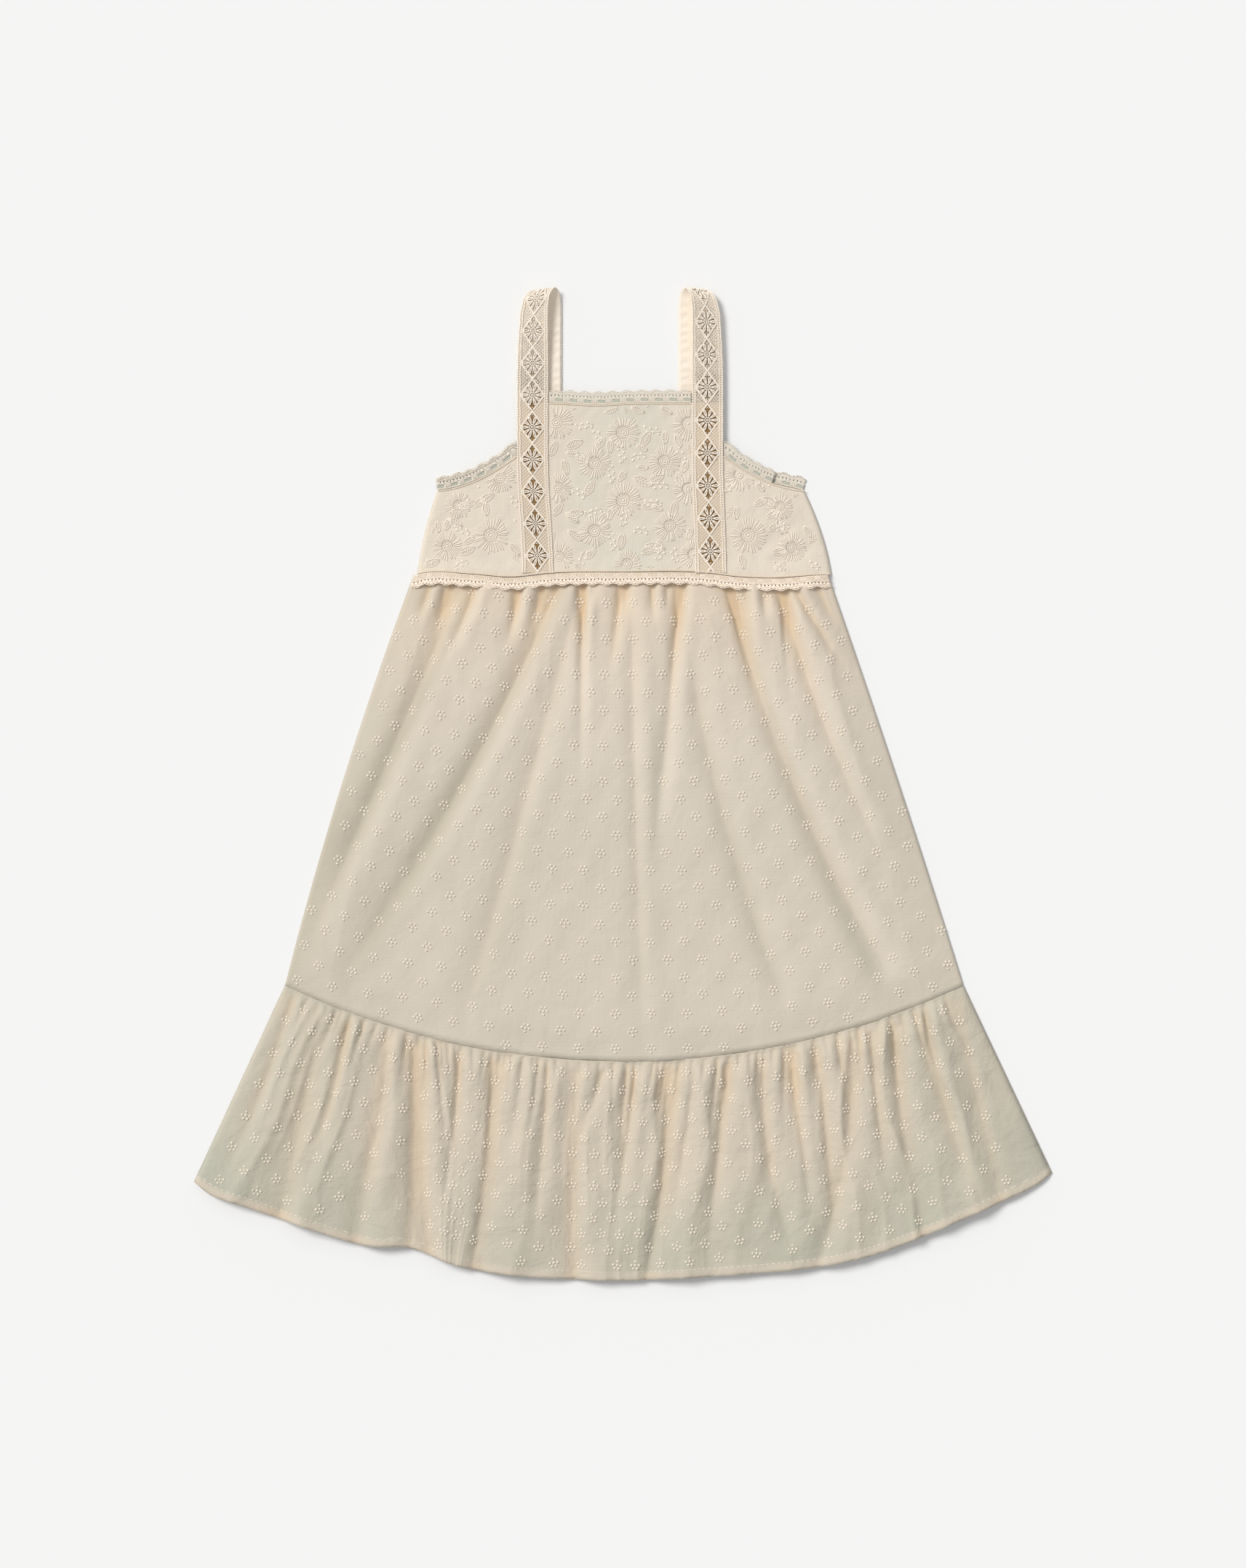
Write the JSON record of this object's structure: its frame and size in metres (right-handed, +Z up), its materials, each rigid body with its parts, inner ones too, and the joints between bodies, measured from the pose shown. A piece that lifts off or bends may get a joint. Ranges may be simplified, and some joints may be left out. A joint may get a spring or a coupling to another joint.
{
  "type": "embroidered maxi dress",
  "caption": "Child's sleeveless long dress laid flat: lace-banded straps, embroidered bodice, gathered dotted skirt and flounce.",
  "frame": {"origin": "centre of the bounding box at the surface that the dress lies on", "axes": "+X to the right seen from above, with the front up; +Y from the hem to the straps; +Z up from the surface"},
  "size_m": [0.684, 0.7902, 0.0114],
  "materials": {
    "cotton_lawn": "fine matt cotton with raised thread dots",
    "cotton_lace": "matt cotton lace"
  },
  "bodies": {
    "root": {"skirt_front": "cotton_lawn", "skirt_back": "cotton_lawn", "flounce_front": "cotton_lawn", "flounce_back": "cotton_lawn", "bodice_front": "cotton_lawn", "bodice_back": "cotton_lawn", "strap_left": "cotton_lawn", "strap_right": "cotton_lawn", "lace_band_left": "cotton_lace", "lace_band_right": "cotton_lace", "lace_neck": "cotton_lace", "lace_armhole_left": "cotton_lace", "lace_armhole_right": "cotton_lace", "lace_back": "cotton_lace", "lace_waist": "cotton_lace"}
  },
  "joints": []
}
